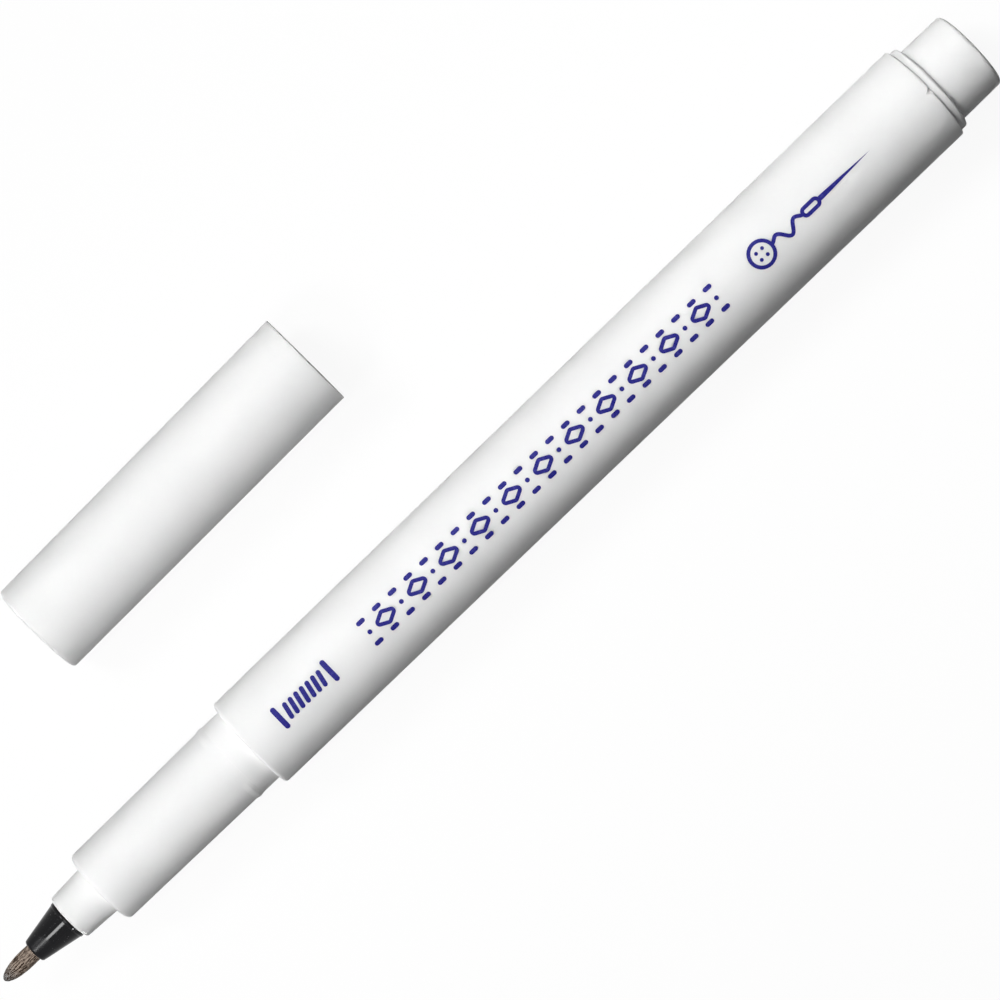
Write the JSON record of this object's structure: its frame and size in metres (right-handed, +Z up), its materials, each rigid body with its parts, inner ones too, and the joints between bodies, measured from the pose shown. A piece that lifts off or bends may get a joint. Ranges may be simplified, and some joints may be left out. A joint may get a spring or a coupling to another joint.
{
  "type": "fabric marker pen",
  "caption": "Round plastic marker for drawing on cloth: bonded-fibre point, ink reservoir inside the barrel, tail plug, and a push-on cap laid beside it.",
  "frame": {"origin": "bottom centre of the box round the pen and its cap, on the surface that both lie on", "axes": "+X along the pen from the nib to the tail, +Y towards the cap lying beside it, +Z up"},
  "size_m": [0.1364, 0.0354, 0.0114],
  "materials": {
    "white_plastic": "semi-gloss moulded white",
    "black_plastic": "glossy moulded black",
    "nib_fibre": "bonded fibre, ink-stained",
    "reservoir_fibre": "soft bonded fibre, tinted by pale ink",
    "clear_film": "thin glossy film",
    "print_ink": "blue screen print"
  },
  "bodies": {
    "pen": {"barrel": "white_plastic", "front_section": "white_plastic", "nib_holder": "black_plastic", "nib": "nib_fibre", "ink_reservoir": "reservoir_fibre", "reservoir_film": "clear_film", "end_plug": "white_plastic"},
    "cap": {"cap_shell": "white_plastic", "cap_liner": "white_plastic"}
  },
  "joints": [
    {"name": "cap_pull", "type": "slide", "parent": "pen", "child": "cap", "axis": [-1, 0, 0], "range_m": [0, 0.0659]}
  ]
}
